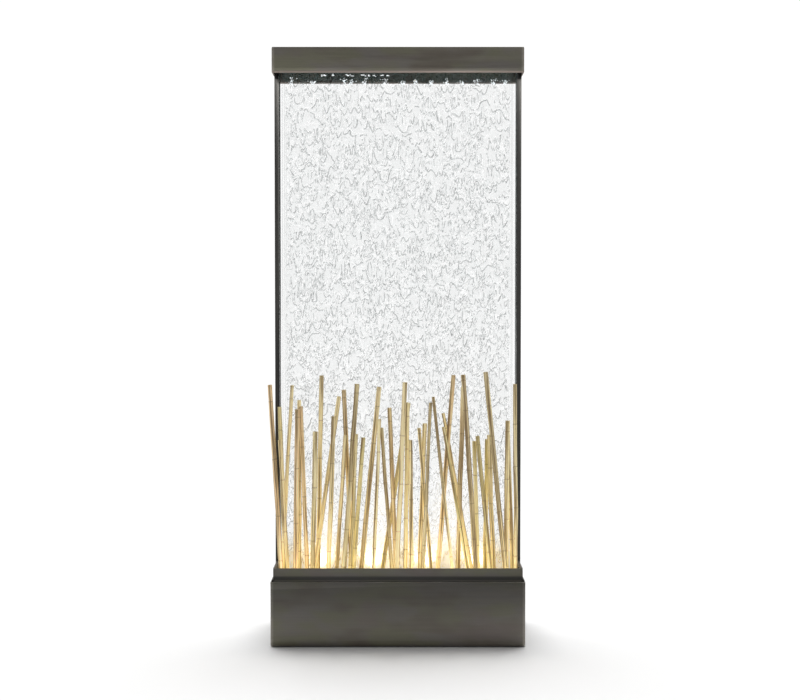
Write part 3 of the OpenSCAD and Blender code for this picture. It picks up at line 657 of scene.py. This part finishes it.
rng = np.random.default_rng(REED_SEED)
for row in range(1, REED_ROWS + 1):
    node = f"reeds_row_{row}"
    solid = bmesh.new()
    layers = {key: solid.verts.layers.float.new(key) for key in ("tone", "warm", "ring", "hollow")}
    layers["grain"] = solid.verts.layers.float_vector.new("grain")
    for part in loose_parts(nodes[node].data):
        build_reed(part, rng, solid, layers)
    mesh = mesh_from(solid, f"reeds_{row}")
    piece = new_piece(f"bamboo_row_{row}", mesh, "reed_bed", [finishes["bamboo"]])
    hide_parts(node)


# -------------------------------------------------------------------- water

FILM_SEED = 7
PITCH = 0.8 * MM                    # of the film's grid
FILM_X = 0.1458                     # half of its width
FILM_LOW = 0.0645
FILM_TOP = 0.6995
FOOT_TOP = 0.140                    # the painted lamp glow at the film's foot starts here and is full
FOOT_FADE = 0.048                   # this much lower
POOL_X = 0.1488                     # half of its width
POOL_Y = 0.0616                     # half of its size front to back
POOL_Z = 0.0665                     # its surface
POOL_DEPTH = 2 * MM
POOL_GRID = (200, 84)               # points across and front to back
POOL_PITCH = 1.5 * MM
# where the lamps light the film: place, half width, half height and strength
FILM_GLOWS = (
    (-0.088, 0.130, 0.016, 0.075, 0.90),
    (-0.020, 0.135, 0.022, 0.085, 1.0),
    (0.066, 0.135, 0.026, 0.075, 0.95),
    (0.030, 0.100, 0.020, 0.040, 0.5),
)


def smooth_field(rng, shape, pitch, wave_x, wave_z, spread):
    """Random field, mean 0 and deviation 1, whose waves are about wave_x by wave_z long."""
    white = np.fft.rfft2(rng.standard_normal(shape))
    fz = np.fft.fftfreq(shape[0], pitch)[:, None] * wave_z
    fx = np.fft.rfftfreq(shape[1], pitch)[None, :] * wave_x
    reach = np.sqrt(fz ** 2 + fx ** 2)
    band = np.exp(-(((reach - 1) / spread) ** 2))
    field = np.fft.irfft2(white * band, s=shape)
    return (field - field.mean()) / field.std()


def soft_step(value, low, high):
    """0 up to low, 1 from high, and an even curve between them."""
    t = np.clip((value - low) / (high - low), 0, 1)
    return t * t * (3 - 2 * t)


def closed_sheet(name, front, back_axis, back_at, finish, keys=None):
    """A thin solid: a grid of front points on a flat back, which lies at back_at along one axis."""
    down, across = front.shape[:2]
    index = np.arange(down * across).reshape(down, across)
    rim = np.concatenate([index[0, :-1], index[:-1, -1], index[-1, :0:-1], index[:0:-1, 0]])
    flat = front.reshape(-1, 3)
    back = flat[rim].copy()
    back[:, back_axis] = back_at
    corners = [index[:-1, :-1], index[:-1, 1:], index[1:, 1:], index[1:, :-1]]
    quads = np.stack(corners, -1).reshape(-1, 4)
    behind = down * across + np.arange(len(rim))
    sides = np.stack([rim, behind, np.roll(behind, -1), np.roll(rim, -1)], -1)
    faces = quads.tolist() + sides.tolist() + [behind[::-1].tolist()]
    mesh = bpy.data.meshes.new(name)
    mesh.from_pydata(np.concatenate([flat, back]).tolist(), [], faces)
    piece = new_piece(name, mesh, "base", [finish, back_finish])
    in_front = [k < len(quads) for k in range(len(faces))]
    mesh.polygons.foreach_set("use_smooth", in_front)
    mesh.polygons.foreach_set("material_index", [0 if front_face else 1 for front_face in in_front])
    for key, values in (keys or {}).items():
        spread = values.reshape(-1)
        layer = mesh.attributes.new(key, "FLOAT", "POINT")
        layer.data.foreach_set("value", np.concatenate([spread, spread[rim]]).astype(np.float32))
    piece.visible_shadow = False


def read_higher(field, rise):
    """The field read up to rise metres higher at each grid point, so its fronts hang in drips."""
    level = np.arange(field.shape[0])[:, None] + rise / PITCH
    whole = np.floor(level).astype(int)
    part = level - whole
    top = field.shape[0] - 1
    column = np.arange(field.shape[1])[None, :]
    lower = field[np.clip(whole, 0, top), column]
    upper = field[np.clip(whole + 1, 0, top), column]
    return lower * (1 - part) + upper * part


def outline(field, width, inset):
    """Three fields along a field's zero contour: thin lines of painted shade, crests of painted
    highlight and raised ridges.

    The painted shade is strongest on lower edges. The painted highlights lie just inside the lines,
    the ridges between.
    """
    slope_z, slope_x = np.gradient(field, PITCH)
    slope = np.sqrt(slope_z ** 2 + slope_x ** 2) + 1
    away = field / slope
    under = slope_z / slope
    line = np.exp(-((away / width) ** 2)) * (0.10 + 0.90 * np.clip(under * 1.1 + 0.75, 0, 1))
    inside = np.exp(-(((away - inset) / width) ** 2)) * np.clip(under + 1.0, 0, 1)
    above = np.exp(-((away / (1.2 * width)) ** 2)) * np.clip(-under - 0.1, 0, 1)
    ridge = np.exp(-(((away - 0.6 * inset) / (1.8 * width)) ** 2))
    return line, np.clip(inside + 0.8 * above, 0, 1), ridge


film_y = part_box("glass_pane")[0].y - 0.05 * MM
columns = int(round(2 * FILM_X / PITCH)) + 1
rows = int(round((FILM_TOP - FILM_LOW) / PITCH)) + 1
shape = (rows, columns)
grid_x, grid_z = np.meshgrid(
    np.linspace(-FILM_X, FILM_X, columns), np.linspace(FILM_LOW, FILM_TOP, rows)
)
rng = np.random.default_rng(FILM_SEED)


def film_noise(wave_x, wave_z, spread):
    """The film's next random field: its waves' width and height, and how much they vary."""
    return smooth_field(rng, shape, PITCH, wave_x, wave_z, spread)


# the drips, large and small, with jagged fronts
long_drips = np.abs(film_noise(0.0120, 0.050, 0.35))
short_drips = np.abs(film_noise(0.0090, 0.036, 0.35))
jagged = film_noise(0.0060, 0.0060, 0.5)
large = film_noise(0.026, 0.017, 0.5) + 0.30 * jagged
large = read_higher(large, (long_drips - 0.8) * 8 * MM)
small = film_noise(0.016, 0.0105, 0.5) + 0.35 * jagged + 0.25
small = read_higher(small, (short_drips - 0.8) * 6 * MM)
# where the outlines break off, and where small drips show among the large ones
broken = soft_step(film_noise(0.0120, 0.0120, 0.6), -1.5, -0.6)
busy = soft_step(film_noise(0.026, 0.026, 0.6), -0.6, 0.0)
busy = busy * (1 - 0.6 * soft_step(grid_z, 0.56, 0.66))
fine = film_noise(0.0066, 0.0070, 0.4) + 1.1
dots = soft_step(film_noise(0.0036, 0.0040, 0.35), 2.1, 2.6)
streams = np.repeat(smooth_field(rng, (1, columns), PITCH, 0.0030, 1.0, 0.5), rows, 0)
edge = soft_step(FILM_X - np.abs(grid_x), 0.004, 0.012)

line_a, crest_highlight_a, ridge_a = outline(large, 0.62 * MM, 1.5 * MM)
line_b, crest_highlight_b, ridge_b = outline(small, 0.52 * MM, 1.3 * MM)
line_c, crest_highlight_c, _ = outline(fine, 0.45 * MM, 1.1 * MM)
inner = np.maximum(np.maximum(0.85 * line_b * broken, 0.8 * dots), 0.5 * line_c)
shade = edge * np.clip(np.maximum(line_a * broken, busy * inner), 0, 1)
shade = np.clip(shade + 0.16 * (1 - edge) * np.clip(streams, 0, 2), 0, 1)
# painted highlights along the crests, where the film turns clear
crest_highlight = np.clip(crest_highlight_a + busy * (crest_highlight_b + 0.5 * crest_highlight_c), 0, 1)
crest_highlight = edge * crest_highlight + (1 - edge) * np.clip(0.35 - 0.5 * streams, 0, 1)
crest_highlight = np.clip(crest_highlight, 0, 1) * (1 - shade)
plateau = 0.35 / (1 + np.exp(-4 * large))
relief = edge * (plateau + 0.45 * ridge_a + busy * (0.30 * ridge_b + 0.4 * dots))
relief = relief + 0.12 * (1 - edge) * streams
lit = np.zeros(shape)
for glow_x, glow_z, wide, tall, strength in FILM_GLOWS:
    across = ((grid_x - glow_x) / wide) ** 2
    lit += strength * np.exp(-across - ((grid_z - glow_z) / tall) ** 2)
film_keys = {
    "shade": shade,
    "crest_highlight": crest_highlight,
    "lit": np.clip(lit, 0, 1),
    "cover": soft_step(FILM_TOP - grid_z, 0.001, 0.004),
    "foot": soft_step(FOOT_TOP - grid_z, 0.0, FOOT_FADE),
}


def film_piece(name, first, last):
    """One stretch of the film between two grid rows: rippled, against the glass."""
    front_y = film_y - (0.25 + 0.5 * relief[first:last]) * MM
    front = np.stack([grid_x[first:last], front_y, grid_z[first:last]], -1)
    keys = {key: values[first:last] for key, values in film_keys.items()}
    closed_sheet(name, front, 1, film_y, film_finish, keys)


cuts = [0, rows // 3, 2 * rows // 3, rows - 1]
for stretch, (first, last) in enumerate(zip(cuts, cuts[1:]), 1):
    film_piece(f"water_film_{stretch}", first, last + 1)

pool_x, pool_y = np.meshgrid(
    np.linspace(-POOL_X, POOL_X, POOL_GRID[0]), np.linspace(-POOL_Y, POOL_Y, POOL_GRID[1])
)
wave = smooth_field(rng, pool_x.shape, POOL_PITCH, 0.016, 0.012, 0.6)
stirred = np.exp(-(((pool_y + 0.004) / 0.010) ** 2))      # where the film falls in
pool_z = POOL_Z + (0.15 + 0.7 * stirred) * MM * wave
pool_top = np.stack([pool_x, pool_y, pool_z], -1)
closed_sheet("pool_water", pool_top, 2, POOL_Z - POOL_DEPTH, pool_finish)


# ------------------------------------------------------------------ splashes

SPLASH_SEED = 23
DASH_Y = -0.0075
DASH_Z = 0.6905
CROWN_Y = -0.0040
CROWN_Z = 0.6800
CROWN_STRETCH = 1.6                 # a crown's highest drop, times its height
DROPS_IN_DASH = 3
DROPS_IN_CROWN = 24
DROP_WOBBLE = 0.12                  # of a drop's radius
# where the spray bar's jets catch the light: place along the bar and width
DASHES = (
    (-0.094, 0.004), (-0.089, 0.003), (-0.080, 0.002), (-0.062, 0.003), (-0.057, 0.004),
    (-0.044, 0.005), (-0.037, 0.006), (-0.029, 0.004), (-0.021, 0.006), (-0.012, 0.004),
)
# where the jets land on the film: place along the bar and height in mm
CROWNS = (
    (-0.131, 5.0), (-0.105, 2.5), (-0.066, 5.0), (-0.058, 4.0), (-0.041, 5.0),
    (-0.016, 4.0), (0.006, 2.5), (0.022, 4.0), (0.041, 3.0), (0.060, 4.5),
    (0.079, 3.0), (0.097, 4.0), (0.118, 4.5), (0.131, 3.0),
)


def add_drop(solid, centre, size, turn=0.0):
    """One drop: a small ball stretched to size, leaning by turn, with a slight wobble."""
    lean = Matrix.Rotation(turn, 4, "Y")
    matrix = Matrix.Translation(centre) @ lean @ Matrix.Diagonal((*size, 1))
    made = bmesh.ops.create_icosphere(solid, subdivisions=2, radius=1, matrix=matrix)
    for vertex in made["verts"]:
        away = vertex.co - Vector(centre)
        vertex.co += away * DROP_WOBBLE * math.sin(away.x * 4100 + away.z * 2900)
        for face in vertex.link_faces:
            face.smooth = True


rng = np.random.default_rng(SPLASH_SEED)
solid = bmesh.new()
for x, wide in DASHES:
    for _ in range(DROPS_IN_DASH):
        place = (x + rng.uniform(-0.5, 0.5) * wide, DASH_Y, DASH_Z + rng.normal(0, 0.5) * MM)
        add_drop(solid, place, (rng.uniform(0.7, 1.6) * MM, 0.45 * MM, rng.uniform(0.4, 0.7) * MM))
for x, tall in CROWNS:
    for _ in range(DROPS_IN_CROWN):
        rise = rng.uniform(0, 1) ** 1.4
        spread = rng.normal(0, 1) * (1.0 + 1.8 * rise)
        y = CROWN_Y - rng.uniform(0, 1.2) * MM
        place = (x + spread * MM, y, CROWN_Z + rise * tall * MM * CROWN_STRETCH)
        stretch = rng.uniform(0.5, 1.4)
        add_drop(solid, place, (0.42 * MM, 0.42 * MM, 0.65 * stretch * MM), spread * 0.22)
mesh = mesh_from(solid, "splashes")
new_piece("splashes", mesh, "base", [splash_finish])
nodes["glass_pane"].visible_shadow = False


# ------------------------------------------------------- stage, light, camera

FLOOR_SIZE = 60
WORLD_LIGHT = 0.22                  # how bright the white world is as a light,
WORLD_SEEN = 1.045                  # and as the backdrop that the camera sees
LAMP_XS = (-0.096, -0.032, 0.032, 0.096)
LAMP_Y = -0.012
LAMP_Z = 0.084
LAMP_TURN = math.radians(180 - 14)  # upwards, leaning 14 degrees towards the glass


def area_light(name, place, target, size, energy, colour):
    """A rectangular light at place, facing target."""
    light = bpy.data.lights.new(name, "AREA")
    light.energy = energy
    light.color = colour
    light.shape = "RECTANGLE"
    light.size, light.size_y = size
    aim = Vector(target) - Vector(place)
    return add_object(name, light, place, aim.to_track_quat("-Z", "Y").to_euler())


def floor_finish():
    """The plain pale table."""
    s = Shader("pale_floor")
    mottle = s.noise(3, detail=2.0)
    s.set(base_color=s.mix(mottle, (0.79, 0.79, 0.79), (0.80, 0.80, 0.80)))
    s.set(roughness=0.9, specular_ior_level=0.1)
    return s.material


bpy.ops.mesh.primitive_plane_add(size=FLOOR_SIZE, location=(0, 0, 0))
floor = bpy.context.object
floor.name = "floor"
floor.data.materials.append(floor_finish())

world = bpy.data.worlds.new("studio")
scene.world = world
world.use_nodes = True
tree = world.node_tree
tree.nodes.clear()
output = tree.nodes.new("ShaderNodeOutputWorld")
background = tree.nodes.new("ShaderNodeBackground")
path = tree.nodes.new("ShaderNodeLightPath")
level = tree.nodes.new("ShaderNodeMapRange")
level.inputs["To Min"].default_value = WORLD_LIGHT
level.inputs["To Max"].default_value = WORLD_SEEN
tree.links.new(path.outputs["Is Camera Ray"], level.inputs["Value"])
tree.links.new(level.outputs[0], background.inputs["Strength"])
background.inputs["Color"].default_value = (1, 1, 1, 1)
tree.links.new(background.outputs[0], output.inputs[0])

# a broad sun from above and behind, so the shadow falls to the front
sun = bpy.data.lights.new("broad_sun", "SUN")
sun.energy = 3.9
sun.angle = math.radians(54)
add_object("broad_sun", sun, turn=(math.radians(-25), 0, 0))

# the studio's panel and the white table, seen in the bronze's reflections only
panel = area_light(
    "front_gloss", place=(0, -3.0, 1.45), target=(0, 0, 0.69),
    size=(2.4, 0.6), energy=34, colour=(1, 0.99, 0.97),
)
panel.visible_diffuse = False
table = area_light(
    "table_gloss", place=(0, -0.155, 0.002), target=(0, -0.155, 1),
    size=(0.6, 0.14), energy=0.30, colour=(1, 0.99, 0.96),
)
table.visible_diffuse = False
table.visible_camera = False
# stands for the lamps' light scattered by the water inside the rim
strip = area_light(
    "reed_strip", place=(0, -0.0600, 0.0850), target=(0, -0.050, 0.115),
    size=(0.29, 0.003), energy=0.03, colour=(1.0, 0.90, 0.66),
)
strip.visible_camera = False

for lamp_x in LAMP_XS:
    warm = bpy.data.lights.new(f"reed_lamp_{lamp_x}", "SPOT")
    warm.energy = 0.12
    warm.color = (1.0, 0.85, 0.62)
    warm.spot_size = math.radians(120)
    warm.spot_blend = 0.8
    warm.shadow_soft_size = 0.006
    add_object(warm.name, warm, (lamp_x, LAMP_Y, LAMP_Z), (LAMP_TURN, 0, 0))

camera = bpy.data.cameras.new("camera")
camera.lens = 68.17
camera.sensor_width = 36
camera.clip_end = 200
viewer = add_object("camera", camera, (0.0025, -1.875, 0.4189), (math.radians(88), 0, 0))
scene.camera = viewer
scene.view_settings.view_transform = "Standard"
